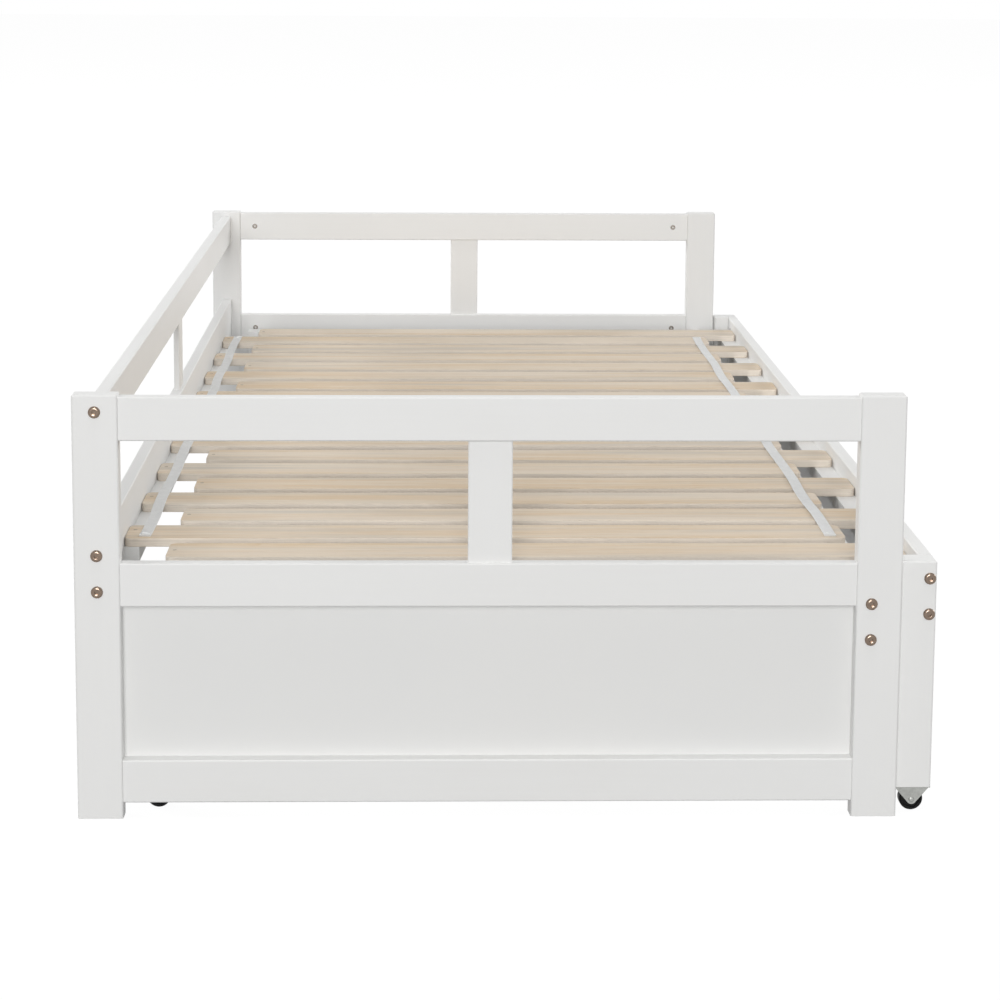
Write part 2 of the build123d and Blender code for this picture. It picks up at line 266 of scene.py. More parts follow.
def math_node(tree, operation, *values):
    """The result of a Math node."""
    return add(tree, "ShaderNodeMath", dict(enumerate(values)), operation=operation).outputs[0]


def mapped(tree, vector, scale):
    """Coordinates stretched by a scale for each axis."""
    return add(tree, "ShaderNodeMapping", {"Vector": vector, "Scale": scale}).outputs[0]


def noise(tree, vector, scale=1.0, detail=3.0, roughness=0.55):
    """A noise texture's value."""
    values = {"Vector": vector, "Scale": scale, "Detail": detail, "Roughness": roughness}
    return add(tree, "ShaderNodeTexNoise", values).outputs[0]


def streaks(tree, place, along, across, detail, roughness=0.55):
    """Noise drawn out along X: how often it changes in a metre along the wood, and across it."""
    return noise(tree, mapped(tree, place, (along, across, across)), detail=detail, roughness=roughness)


def ranged(tree, value, low, high, from_low=0.3, from_high=0.7):
    """A value carried from one range to another and held inside it."""
    values = {"Value": value, "From Min": from_low, "From Max": from_high, "To Min": low, "To Max": high}
    return add(tree, "ShaderNodeMapRange", values).outputs[0]


def mixed(tree, factor, first, second):
    """Two colours mixed by a factor."""
    return add(tree, "ShaderNodeMix", {0: factor, 6: first, 7: second}, data_type="RGBA").outputs[2]


def scaled(tree, vector, factor):
    """A colour or a vector multiplied by a factor."""
    return add(tree, "ShaderNodeVectorMath", {0: vector, 3: factor}, operation="SCALE").outputs[0]


def summed(tree, first, second):
    """Two vectors added up."""
    return add(tree, "ShaderNodeVectorMath", {0: first, 1: second}, operation="ADD").outputs[0]


def bumped(tree, height, depth):
    """The normal of a surface raised by a height, with the depth in metres at full height."""
    return add(tree, "ShaderNodeBump", {"Height": height, "Distance": depth, "Strength": 1.0}).outputs[0]


def stored(tree, name):
    """A number that the mesh carries under a name."""
    return add(tree, "ShaderNodeAttribute", attribute_name=name).outputs["Fac"]


def new_finish(name, **constants):
    """A new material: returns it with its node tree and its shader, whose constants are set."""
    finish = bpy.data.materials.new(name)
    finish.use_nodes = True
    shader = finish.node_tree.nodes["Principled BSDF"]
    for socket, value in constants.items():
        shader.inputs[socket.replace("_", " ")].default_value = value
    return finish, finish.node_tree, shader


def wire(tree, shader, **sockets):
    """Links outputs to the shader's sockets."""
    for socket, output in sockets.items():
        tree.links.new(output, shader.inputs[socket.replace("_", " ")])


def object_place(tree):
    """Object coordinates, in metres."""
    return add(tree, "ShaderNodeTexCoord").outputs["Object"]


# Finishes


def painted_timber(name, settings, along=None):
    """White satin paint: faint grain along one axis, or none on board, with thin spots and uneven gloss."""
    finish, tree, shader = new_finish(name)
    place = object_place(tree)
    across_grain = 240.0
    along_grain = 7.0
    stretch = [across_grain] * 3
    if along is not None:
        stretch[along] = along_grain
    grain = noise(tree, mapped(tree, place, stretch), detail=4.0, roughness=0.6)
    skin = noise(tree, place, scale=1400.0, detail=1.0)
    clouds = noise(tree, place, scale=3.5, detail=4.0)
    thin = math_node(tree, "MULTIPLY", ranged(tree, clouds, 0.0, 0.7), ranged(tree, grain, 0.5, 1.0))
    height = math_node(tree, "MULTIPLY_ADD", skin, 0.25, grain)
    depth = settings.grain_depth if along is not None else settings.grain_depth / 3
    paint = settings.paint if along is not None else settings.board_paint
    wire(
        tree,
        shader,
        Base_Color=mixed(tree, thin, paint, settings.thin_paint),
        Roughness=ranged(tree, clouds, settings.roughness - 0.05, settings.roughness + 0.07),
        Normal=bumped(tree, height, depth),
    )
    return finish


def lacquered_pine(settings):
    """Pale sawn slats: growth rings and fibres along X, each slat from a place of its own in the plank,
    with sides painted paler than the tops as painted light.
    """
    finish, tree, shader = new_finish("lacquered_pine", Specular_IOR_Level=0.1)
    plank = (31.0, 7.3, 2.1)
    ring_stretch = (0.02, 1.0, 1.0)
    fibre_depth = 0.00008
    seed = stored(tree, "slat_seed")
    place = summed(tree, object_place(tree), scaled(tree, plank, seed))
    drift = streaks(tree, place, 1.4, 18.0, detail=3.0)
    ring_place = summed(tree, mapped(tree, place, ring_stretch), drift)
    rings = add(
        tree,
        "ShaderNodeTexWave",
        {"Vector": ring_place, "Scale": 6.0, "Distortion": 2.5, "Detail": 3.0, "Detail Scale": 1.5},
        wave_type="BANDS",
        bands_direction="Y",
        wave_profile="SAW",
    ).outputs["Fac"]
    fibres = streaks(tree, place, 9.0, 520.0, detail=4.0, roughness=0.65)
    pores = streaks(tree, place, 45.0, 1500.0, detail=1.0)
    bands = streaks(tree, place, 1.5, 34.0, detail=3.0)
    wisps = streaks(tree, place, 4.0, 95.0, detail=3.0)
    patches = streaks(tree, place, 1.6, 24.0, detail=2.0)
    tan_share = ranged(tree, math_node(tree, "MULTIPLY_ADD", seed, 0.12, bands), 0.0, 1.0, 0.46, 0.68)
    tan_share = math_node(tree, "MULTIPLY", tan_share, ranged(tree, rings, 0.6, 1.0, 0.1, 1.0))
    wood = mixed(tree, tan_share, settings.pale_wood, settings.tan_wood)
    wood = mixed(tree, ranged(tree, patches, 0.0, 0.75, 0.52, 0.68), wood, settings.grey_wood)
    wood = mixed(tree, ranged(tree, wisps, 0.0, 0.7, 0.54, 0.68), wood, settings.pale_wood)
    # Sides painted paler than the tops, by how steep each face is: painted light on the slats' near faces
    painted_light_share = math_node(tree, "MULTIPLY", stored(tree, "slat_side"), 0.8)
    wood = mixed(tree, painted_light_share, wood, settings.painted_lit_side_wood)
    fibre_shade = ranged(tree, fibres, 0.88, 1.06)
    pore_shade = ranged(tree, pores, 1.0, 0.86, 0.62, 0.72)
    shade = math_node(tree, "MULTIPLY", fibre_shade, pore_shade)
    height = math_node(tree, "SUBTRACT", fibres, math_node(tree, "MULTIPLY", rings, 0.3))
    wire(
        tree,
        shader,
        Base_Color=scaled(tree, wood, shade),
        Roughness=ranged(tree, fibres, 0.55, 0.72),
        Normal=bumped(tree, height, fibre_depth),
    )
    return finish


def woven_webbing(settings):
    """Plain woven tape: threads cross along the strap's own UV map, which is in metres."""
    finish, tree, shader = new_finish(
        "webbing", Sheen_Weight=0.25, Sheen_Roughness=0.45, Specular_IOR_Level=0.35
    )
    weave_depth = 0.0003
    uv = add(tree, "ShaderNodeTexCoord").outputs["UV"]
    pitch = math.pi / (10 * settings.thread)
    threads = {}
    for axis in "XY":
        threads[axis] = add(
            tree, "ShaderNodeTexWave", {"Vector": uv, "Scale": pitch}, bands_direction=axis
        ).outputs["Fac"]
    weave = math_node(tree, "MULTIPLY", threads["X"], threads["Y"])
    weave = math_node(tree, "MAXIMUM", weave, math_node(tree, "MULTIPLY", threads["X"], 0.6))
    wear = noise(tree, uv, scale=60.0, detail=3.0)
    weave_shade = ranged(tree, weave, 0.86, 1.06, 0.0, 1.0)
    shade = math_node(tree, "MULTIPLY", weave_shade, ranged(tree, wear, 0.94, 1.05))
    wire(
        tree,
        shader,
        Base_Color=scaled(tree, settings.webbing[:3], shade),
        Roughness=ranged(tree, wear, 0.6, 0.78),
        Normal=bumped(tree, weave, weave_depth),
    )
    return finish


def plated_steel(name, tone, roughness, spangle=0.0):
    """Plated steel: fine rub marks, a little uneven tone, and crystal spangle where it is zinc."""
    finish, tree, shader = new_finish(name, Metallic=1.0)
    rub_stretch = (300.0, 2200.0, 900.0)
    rub_depth = 0.00002
    place = object_place(tree)
    rubs = noise(tree, mapped(tree, place, rub_stretch), detail=3.0, roughness=0.7)
    clouds = noise(tree, place, scale=180.0, detail=3.0)
    cells = add(tree, "ShaderNodeTexVoronoi", {"Vector": place, "Scale": 420.0}).outputs["Color"]
    crystal = math_node(tree, "MULTIPLY_ADD", cells, spangle, ranged(tree, clouds, 0.86, 1.06))
    wire(
        tree,
        shader,
        Base_Color=scaled(tree, tone[:3], crystal),
        Roughness=ranged(tree, rubs, roughness - 0.07, roughness + 0.10),
        Normal=bumped(tree, rubs, rub_depth),
    )
    return finish


def moulded_plastic(settings):
    """Black moulded plastic: fine grain, with dull dusty patches."""
    finish, tree, shader = new_finish("wheel_plastic", Specular_IOR_Level=0.12)
    grain_depth = 0.00004
    place = object_place(tree)
    grain = noise(tree, place, scale=1600.0, detail=2.0)
    dust = noise(tree, place, scale=140.0, detail=4.0, roughness=0.65)
    dusty = tuple(2 * value + 0.006 for value in settings.plastic[:3])
    tone = mixed(tree, ranged(tree, dust, 0.0, 0.5, 0.5, 0.8), settings.plastic, (*dusty, 1.0))
    wire(
        tree,
        shader,
        Base_Color=tone,
        Roughness=ranged(tree, dust, 0.34, 0.6),
        Normal=bumped(tree, grain, grain_depth),
    )
    return finish


# Shapes


def mesh_of(name, shape):
    """A mesh from a closed shape, facing outwards, smooth but for its sharp edges."""
    bmesh.ops.recalc_face_normals(shape, faces=shape.faces)
    mesh = bpy.data.meshes.new(name)
    shape.to_mesh(mesh)
    shape.free()
    mesh.polygons.foreach_set("use_smooth", [True] * len(mesh.polygons))
    mesh.set_sharp_from_angle(angle=SHARP_ANGLE)
    return mesh


def circle(angle):
    """A ring's outline: round."""
    return 1.0


def hexagon(angle):
    """A ring's outline: a hexagon through its corners."""
    return math.cos(math.pi / 6) / math.cos(angle % (math.pi / 3) - math.pi / 6)


def cross(angle):
    """A ring's outline: the four arms of a driver's cross."""
    return 0.35 + 0.65 * abs(math.cos(2 * angle)) ** 3


def scallops(angle):
    """A ring's outline: five shallow pockets between spokes."""
    return 0.93 + 0.07 * math.cos(5 * angle)


def turned(name, profile, bored=False):
    """A shape turned about +Z through rings of (radius, height, outline), capped or bored through."""
    shape = bmesh.new()
    rings = []
    for radius, height, outline in profile:
        ring = []
        for step in range(TURNED_SIDES):
            angle = FULL_TURN * step / TURNED_SIDES
            reach = radius * outline(angle)
            ring.append(shape.verts.new((reach * math.cos(angle), reach * math.sin(angle), height)))
        rings.append(ring)
    pairs = list(zip(rings, rings[1:]))
    if bored:
        pairs.append((rings[-1], rings[0]))
    else:
        shape.faces.new(rings[0])
        shape.faces.new(rings[-1])
    for lower, upper in pairs:
        for step in range(TURNED_SIDES):
            after = (step + 1) % TURNED_SIDES
            shape.faces.new((lower[step], lower[after], upper[after], upper[step]))
    return mesh_of(name, shape)


def dome(radius, top_radius, low, high, steps=5):
    """Rings of a rounded shoulder that rises from one radius and height to another."""
    rings = []
    for step in range(steps + 1):
        angle = math.pi / 2 * step / steps
        ring_radius = top_radius + (radius - top_radius) * math.cos(angle)
        rings.append((ring_radius, low + (high - low) * math.sin(angle), circle))
    return rings


def mirrored(rings):
    """Rings on the other side of the middle, in reverse order."""
    return [(radius, -height, outline) for radius, height, outline in reversed(rings)]


def bolt_shape(settings, radius, whole_length):
    """A connecting bolt with its seat at the origin: shank down, domed head up, with a hexagon socket."""
    head = settings.bolt_head
    socket = settings.bolt_socket
    shank = settings.bolt_shank
    tip = head - whole_length
    tip_taper = 0.001
    profile = [
        (shank * 0.8, tip, circle),
        (shank, tip + tip_taper, circle),
        (shank, 0.0, circle),
        (radius, 0.0, circle),
        *dome(radius, socket * 1.5, head * 0.28, head, steps=7),
        (socket * 1.12, head * 0.97, circle),
        (socket, head * 0.9, hexagon),
        (socket, head * 0.25, hexagon),
    ]
    return turned("bolt", profile)


def nut_shape(settings):
    """The face of a barrel nut: a chamfered disc with a dished middle and a driver's cross."""
    radius = settings.nut_radius
    proud = 0.0004
    sunk = -0.001
    cross_floor = -0.0009
    profile = [
        (radius, sunk, circle),
        (radius, proud * 0.4, circle),
        (radius * 0.9, proud, circle),
        (radius * 0.58, proud, circle),
        (radius * 0.5, proud * 0.5, circle),
        (radius * 0.45, proud * 0.5, cross),
        (radius * 0.35, cross_floor, cross),
    ]
    return turned("barrel_nut", profile)


def screw_shape(settings):
    """A countersunk screw head, a hair above the wood, with a driver's cross."""
    radius = settings.screw_radius
    rim = -0.0001
    proud = 0.0002
    profile = [
        (radius * 0.4, -radius * 0.8, circle),
        (radius, rim, circle),
        (radius * 0.93, proud, circle),
        (radius * 0.6, proud, cross),
        (radius * 0.25, -radius * 0.5, cross),
    ]
    return turned("screw", profile)


def staple_shape(settings):
    """The crown of a wire staple, with short legs that go down into the webbing."""
    wire_size = 0.0009
    wire_width = wire_size * 1.3
    leg_length = 0.002
    leg_place = (settings.staple - wire_size) / 2
    boxes = [((0, 0, wire_size * 0.2), (settings.staple, wire_width, wire_size * 0.8))]
    for side in (-1, 1):
        boxes.append(((side * leg_place, 0, -leg_length / 2), (wire_size, wire_width, leg_length)))
    shape = bmesh.new()
    for centre, size in boxes:
        place = Matrix.Translation(centre) @ Matrix.Diagonal((*size, 1))
        made = bmesh.ops.create_cube(shape, size=1.0, matrix=place)
        edges = {edge for vert in made["verts"] for edge in vert.link_edges}
        in_order = sorted(edges, key=lambda edge: edge.index)
        bmesh.ops.bevel(shape, geom=in_order, offset=wire_size * 0.2, segments=1, affect="EDGES")
    return mesh_of("staple", shape)


def slat_shape(settings, size):
    """A slat about its own middle: rounded ends in plan and eased edges."""
    radius = settings.corner_radius
    arc_steps = 8
    outline = []
    for turn, (side_x, side_y) in enumerate(((1, 1), (-1, 1), (-1, -1), (1, -1))):
        centre = (side_x * (size.x / 2 - radius), side_y * (size.y / 2 - radius))
        for step in range(arc_steps + 1):
            angle = math.pi / 2 * (turn + step / arc_steps)
            outline.append((centre[0] + radius * math.cos(angle), centre[1] + radius * math.sin(angle)))
    shape = bmesh.new()
    base = shape.faces.new([shape.verts.new((x, y, -size.z / 2)) for x, y in outline])
    lifted = bmesh.ops.extrude_face_region(shape, geom=[base])["geom"]
    upper = [item for item in lifted if isinstance(item, bmesh.types.BMVert)]
    bmesh.ops.translate(shape, verts=upper, vec=(0, 0, size.z))
    level = [edge for edge in shape.edges if abs(edge.verts[0].co.z - edge.verts[1].co.z) < MERGE_DISTANCE]
    bmesh.ops.bevel(shape, geom=level, offset=settings.edge_ease, segments=2, profile=0.5, affect="EDGES")
    shape.normal_update()
    # How steep each face is, which the slat finish uses to paint the sides paler as painted light
    side_layer = shape.faces.layers.float.new("slat_side")
    for face in shape.faces:
        face[side_layer] = 1 - abs(face.normal.z)
    return mesh_of("slat", shape)


def wheel_shape(settings, radius, width, bore):
    """A caster wheel about its axle: rounded tread, recessed sides with pockets, and a hub."""
    hub = bore + settings.hub_wall
    rim = radius - settings.rim_wall
    draft = 0.0004
    lip = 0.0006
    lip_drop = 0.0002
    half = width / 2
    side = [
        (bore, half, circle),
        (hub, half, circle),
        (hub + draft, half - settings.recess, circle),
        (rim - draft, half - settings.recess, scallops),
        (rim, half - lip_drop, scallops),
        (rim + lip, half, circle),
    ]
    tread = dome(radius, radius - settings.tread_round, half - settings.tread_round, half)
    upper = side + tread[::-1]
    return turned("wheel", upper + mirrored(upper), bored=True)


def axle_shape(settings, radius, grip):
    """An axle pin about its middle, upset into a rounded head outside each cheek."""
    half = grip / 2
    head = [
        (radius, half, circle),
        *dome(settings.rivet_radius, settings.rivet_radius * 0.35, half, half + settings.rivet_height),
    ]
    return turned("axle", mirrored(head) + head)


# Pieces


def size_of(node):
    """A CAD node's size along each axis."""
    low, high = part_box(node)
    return high - low


def middle_of(node):
    """The middle of a CAD node's box."""
    low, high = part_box(node)
    return (low + high) / 2


def solids_of(node):
    """The lowest and highest corners of each separate solid of a CAD node."""
    copy = bmesh.new()
    copy.from_mesh(frame["nodes"][node].data)
    bmesh.ops.remove_doubles(copy, verts=copy.verts, dist=MERGE_DISTANCE)
    seen = set()
    boxes = []
    for start in copy.verts:
        if start in seen:
            continue
        seen.add(start)
        queue = [start]
        points = []
        while queue:
            vert = queue.pop()
            points.append(vert.co.copy())
            for edge in vert.link_edges:
                other = edge.other_vert(vert)
                if other not in seen:
                    seen.add(other)
                    queue.append(other)
        low = Vector([min(values) for values in zip(*points)])
        high = Vector([max(values) for values in zip(*points)])
        boxes.append((low, high))
    copy.free()
    return boxes


def nodes_in(slot):
    """The CAD nodes whose finish is a slot of the record."""
    return [part["node"] for part in frame["record"]["subparts"] if part["material_slot"] == slot]


def slats_of(deck):
    """A deck's CAD slats, from the foot end to the head end."""
    names = [name for name in frame["nodes"] if name.startswith(f"{deck}_slat_")]
    return sorted(names, key=lambda name: middle_of(name).y)


def coat(node, finish):
    """Gives a CAD node its finish."""
    materials = frame["nodes"][node].data.materials
    materials.clear()
    materials.append(finish)


def piece_from(name, mesh, body, replaced=()):
    """A finished piece at the origin, riding on a body, in place of the CAD nodes that it stands for."""
    piece = bpy.data.objects.new(name, mesh)
    bpy.context.scene.collection.objects.link(piece)
    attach(piece, body)
    if replaced:
        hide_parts(*replaced)
    return piece


def new_tree(name, sockets):
    """An empty Geometry Nodes tree with named inputs: returns it with its group input's outputs."""
    tree = bpy.data.node_groups.new(name, "GeometryNodeTree")
    for label, kind in sockets.items():
        tree.interface.new_socket(label, in_out="INPUT", socket_type=kind)
    tree.interface.new_socket("Geometry", in_out="OUTPUT", socket_type="NodeSocketGeometry")
    return tree, add(tree, "NodeGroupInput").outputs


def close_tree(tree, instances, finish):
    """Ends a tree: instances made real, with their finish."""
    real = add(tree, "GeometryNodeRealizeInstances", {0: instances}).outputs[0]
    coated = add(tree, "GeometryNodeSetMaterial", {"Geometry": real, "Material": finish}).outputs[0]
    add(tree, "NodeGroupOutput", {0: coated})
    return tree


def pattern_in(tree, given):
    """The shape of a pattern object, as one instance."""
    return add(tree, "GeometryNodeObjectInfo", {"Object": given, "As Instance": True}).outputs["Geometry"]


def slat_row_tree():
    """A row of slats at an even pitch, each with a number of its own for its wood."""
    tree, given = new_tree(
        "slat_row",
        {
            "Slat": "NodeSocketObject",
            "Count": "NodeSocketInt",
            "First": "NodeSocketVector",
            "Pitch": "NodeSocketVector",
            "Seed": "NodeSocketInt",
            "Finish": "NodeSocketMaterial",
        },
    )
    row = {"Count": given["Count"], "Start Location": given["First"], "Offset": given["Pitch"]}
    line = add(tree, "GeometryNodeMeshLine", row, mode="OFFSET").outputs[0]
    placed = {"Points": line, "Instance": pattern_in(tree, given["Slat"])}
    slats = add(tree, "GeometryNodeInstanceOnPoints", placed).outputs[0]
    number = add(tree, "FunctionNodeRandomValue", {"Seed": given["Seed"]}, data_type="FLOAT").outputs[1]
    mark = {"Geometry": slats, "Name": "slat_seed", "Value": number}
    numbered = add(tree, "GeometryNodeStoreNamedAttribute", mark, domain="INSTANCE").outputs[0]
    return close_tree(tree, numbered, given["Finish"])


def fastener_tree():
    """A fastener on every point, facing the way the point says and turned by chance."""
    tree, given = new_tree(
        "fastener_set",
        {
            "Points": "NodeSocketGeometry",
            "Fastener": "NodeSocketObject",
            "Turn": "NodeSocketFloat",
            "Seed": "NodeSocketInt",
            "Finish": "NodeSocketMaterial",
        },
    )
    facing = add(
        tree, "GeometryNodeInputNamedAttribute", {"Name": "facing"}, data_type="FLOAT_VECTOR"
    ).outputs[0]
    aligned = add(tree, "FunctionNodeAlignRotationToVector", {"Vector": facing}, axis="Z").outputs[0]
    chance = {3: given["Turn"], "Seed": given["Seed"]}
    angle = add(tree, "FunctionNodeRandomValue", chance, data_type="FLOAT").outputs[1]
    spin = add(tree, "FunctionNodeAxisAngleToRotation", {"Axis": UP, "Angle": angle}).outputs[0]
    turns = {"Rotation": aligned, "Rotate By": spin}
    turned_to = add(tree, "FunctionNodeRotateRotation", turns, rotation_space="LOCAL").outputs[0]
    shape = pattern_in(tree, given["Fastener"])
    placed = {"Points": given["Points"], "Instance": shape, "Rotation": turned_to}
    fasteners = add(tree, "GeometryNodeInstanceOnPoints", placed).outputs[0]
    return close_tree(tree, fasteners, given["Finish"])


def tree_named(name, make):
    """A node tree that is made once."""
    return bpy.data.node_groups.get(name) or make()


def grown(name, tree, pattern, pattern_label, values, points=None):
    """The plain mesh that a tree grows from a pattern shape, with its other inputs set by name."""
    scene_objects = bpy.context.scene.collection.objects
    template = bpy.data.objects.new(f"{name}_pattern", pattern)
    host = bpy.data.objects.new(f"{name}_host", points or bpy.data.meshes.new(name))
    for item in (template, host):
        scene_objects.link(item)
    modifier = host.modifiers.new(tree.name, "NODES")
    modifier.node_group = tree
    sockets = {item.name: item.identifier for item in tree.interface.items_tree if item.in_out == "INPUT"}
    for label, value in {pattern_label: template, **values}.items():
        modifier[sockets[label]] = value
    depsgraph = bpy.context.evaluated_depsgraph_get()
    mesh = bpy.data.meshes.new_from_object(
        host.evaluated_get(depsgraph), preserve_all_data_layers=True, depsgraph=depsgraph
    )
    mesh.name = name
    host.modifiers.clear()
    for item in (template, host):
        bpy.data.objects.remove(item)
    if not mesh.polygons:
        raise RuntimeError(f"{name} came out empty")
    return mesh


def fastened(name, pattern, places, finish, turn, seed):
    """One mesh of a fastener at each of several places, each a (point, facing) pair."""
    points = bpy.data.meshes.new(f"{name}_points")
    points.from_pydata([point for point, facing in places], [], [])
    facing_layer = points.attributes.new("facing", "FLOAT_VECTOR", "POINT")
    facing_layer.data.foreach_set("vector", [value for point, facing in places for value in facing])
    tree = tree_named("fastener_set", fastener_tree)
    values = {"Turn": turn, "Seed": seed, "Finish": finish}
    return grown(name, tree, pattern, "Fastener", values, points)


def strap_mesh(settings, name, node):
    """A strap that lies on the fixed slats, and sags or lifts between them as its CAD solid does."""
    low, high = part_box(node)
    slats = slats_of("fixed")
    slat_low, slat_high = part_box(slats[0])
    pitch = middle_of(slats[1]).y - middle_of(slats[0]).y
    half_slat = (slat_high.y - slat_low.y) / 2
    bow = low.z - slat_high.z
    if bow > -MERGE_DISTANCE:
        bow = high.z - settings.thickness - slat_high.z
    steps_per_pitch = 32
    steps = round((high.y - low.y) / pitch * steps_per_pitch)
    half = (high.x - low.x) / 2
    edge = settings.thickness * 0.4
    radians_per_pitch = 3.9
    hem_slope = 0.003
    shape = bmesh.new()
    uv = shape.loops.layers.uv.new("UVMap")
    sections = []
    for step in range(steps + 1):
        y = low.y + (high.y - low.y) * step / steps
        from_slat = abs((y - middle_of(slats[0]).y + pitch / 2) % pitch - pitch / 2) - half_slat
        between = min(max(from_slat / (pitch / 2 - half_slat), 0.0), 1.0)
        base = slat_high.z + bow * math.sin(between * math.pi / 2) ** 2
        from_end = min(y - low.y, high.y - y)
        hem = min(max((settings.fold - from_end) / hem_slope + 0.5, 0.0), 1.0)
        top = base + settings.thickness + settings.fold_rise * hem
        across = (
            (-half, base + edge),
            (-half + edge, base),
            (half - edge, base),
            (half, base + edge),
            (half, top - edge),
            (half - edge, top),
            (-half + edge, top),
            (-half, top - edge),
        )
        stray = settings.wander * math.sin(radians_per_pitch * step / steps_per_pitch)
        centre_x = (low.x + high.x) / 2 + stray
        sections.append([shape.verts.new((centre_x + x, y, z)) for x, z in across])
    shape.faces.new(sections[0])
    shape.faces.new(sections[-1])
    for near, far in zip(sections, sections[1:]):
        for corner in range(len(near)):
            after = (corner + 1) % len(near)
            shape.faces.new((near[corner], near[after], far[after], far[corner]))
    for face in shape.faces:
        for loop in face.loops:
            loop[uv].uv = (loop.vert.co.x - low.x, loop.vert.co.y - low.y)
    return mesh_of(name, shape)


# Operators


class DAYBED_OT_paint_timber(bpy.types.Operator):
    """Paint the frame and the pull-out white, with the grain along each piece."""

    bl_idname = "daybed.paint_timber"
    bl_label = "Paint timber"

    def execute(self, context):
        settings = context.scene.daybed.timber
        finishes = []
        for along, axis in enumerate("xyz"):
            finishes.append(painted_timber(f"white_paint_{axis}", settings, along))
        board = painted_timber("white_paint_board", settings)
        for node in nodes_in("white_paint"):
            size = list(size_of(node))
            coat(node, board if node.endswith("_panel") else finishes[size.index(max(size))])
        return {"FINISHED"}


class DAYBED_OT_lay_slats(bpy.types.Operator):
    """Lay both decks of slats, each in place of its CAD slats."""

    bl_idname = "daybed.lay_slats"
    bl_label = "Lay slats"

    def execute(self, context):
        settings = context.scene.daybed.slats
        finish = lacquered_pine(settings)
        for number, (deck, body) in enumerate(DECKS.items()):
            slats = slats_of(deck)
            values = {
                "Count": len(slats),
                "First": middle_of(slats[0]),
                "Pitch": middle_of(slats[1]) - middle_of(slats[0]),
                "Seed": settings.seed + number,
                "Finish": finish,
            }
            tree = tree_named("slat_row", slat_row_tree)
            pattern = slat_shape(settings, size_of(slats[0]))
            mesh = grown(f"{deck}_slats", tree, pattern, "Slat", values)
            piece_from(f"{deck}_slats", mesh, body, slats)
        return {"FINISHED"}


class DAYBED_OT_stretch_straps(bpy.types.Operator):
    """Stretch two webbing straps over the fixed slats, hemmed at both ends."""

    bl_idname = "daybed.stretch_straps"
    bl_label = "Stretch straps"

    def execute(self, context):
        settings = context.scene.daybed.straps
        finish = woven_webbing(settings)
        for node in STRAPS:
            name = node.replace("strap", "webbing")
            mesh = strap_mesh(settings, name, node)
            mesh.materials.append(finish)
            piece_from(name, mesh, "frame", [node])
        return {"FINISHED"}


class DAYBED_OT_fasten_slats(bpy.types.Operator):
    """Drive the screws that hold the slats, and the staples that hold the straps."""

    bl_idname = "daybed.fasten_slats"
    bl_label = "Fasten slats"

    def execute(self, context):
        settings = context.scene.daybed.fasteners
        steel = plated_steel("screw_steel", settings.screw_steel, roughness=0.45)
        pale = plated_steel("staple_steel", settings.staple_steel, roughness=0.4)
        screw_rows = {
            "fixed": ("rear_ledger", settings.screw_offset),
            "sliding": ("pullout_rear_beam", 0.0),
        }
        for deck, body in DECKS.items():
            bar, offset = screw_rows[deck]
            places = []
            for slat in slats_of(deck):
                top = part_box(slat)[1].z
                places.append((Vector((middle_of(bar).x, middle_of(slat).y + offset, top)), UP))
            name = f"{deck}_slat_screws"
            mesh = fastened(name, screw_shape(settings), places, steel, FULL_TURN, settings.seed)
            piece_from(name, mesh, body)
        places = [place for strap in STRAPS for place in self.staple_places(context, strap)]
        skew = 0.08
        mesh = fastened("strap_staples", staple_shape(settings), places, pale, skew, settings.seed)
        piece_from("strap_staples", mesh, "frame")
        return {"FINISHED"}

    def staple_places(self, context, strap):
        """Two staples across the hem at each end of a strap, each at a share of the hem's length."""
        hem_shares = (0.35, 0.75)
        straps = context.scene.daybed.straps
        low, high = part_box(strap)
        x = (low.x + high.x) / 2
        hem_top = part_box(slats_of("fixed")[0])[1].z + straps.thickness + straps.fold_rise
        places = []
        for end, inwards in ((low.y, 1), (high.y, -1)):
            for hem_share in hem_shares:
                places.append((Vector((x, end + inwards * straps.fold * hem_share, hem_top)), UP))
        return places


class DAYBED_OT_fit_bolts(bpy.types.Operator):
    """Fit the connecting bolts: domed heads with hexagon sockets, in place of the CAD bolts."""

    bl_idname = "daybed.fit_bolts"
    bl_label = "Fit bolts"

    def execute(self, context):
        settings = context.scene.daybed.fasteners
        finish = plated_steel("nickel_steel", settings.nickel, roughness=0.17)
        for body in DECKS.values():
            node = f"{body}_bolts"
            places = []
            for low, high in solids_of(node):
                outwards = math.copysign(1, low.y)
                seat = (low + high) / 2
                seat.y = (high.y if outwards > 0 else low.y) - outwards * settings.bolt_head
                places.append((seat, Vector((0, outwards, 0))))
            pattern = bolt_shape(settings, (high.x - low.x) / 2, high.y - low.y)
            name = f"{body}_domed_bolts"
            mesh = fastened(name, pattern, places, finish, FULL_TURN, settings.seed)
            piece_from(name, mesh, body, [node])
        return {"FINISHED"}


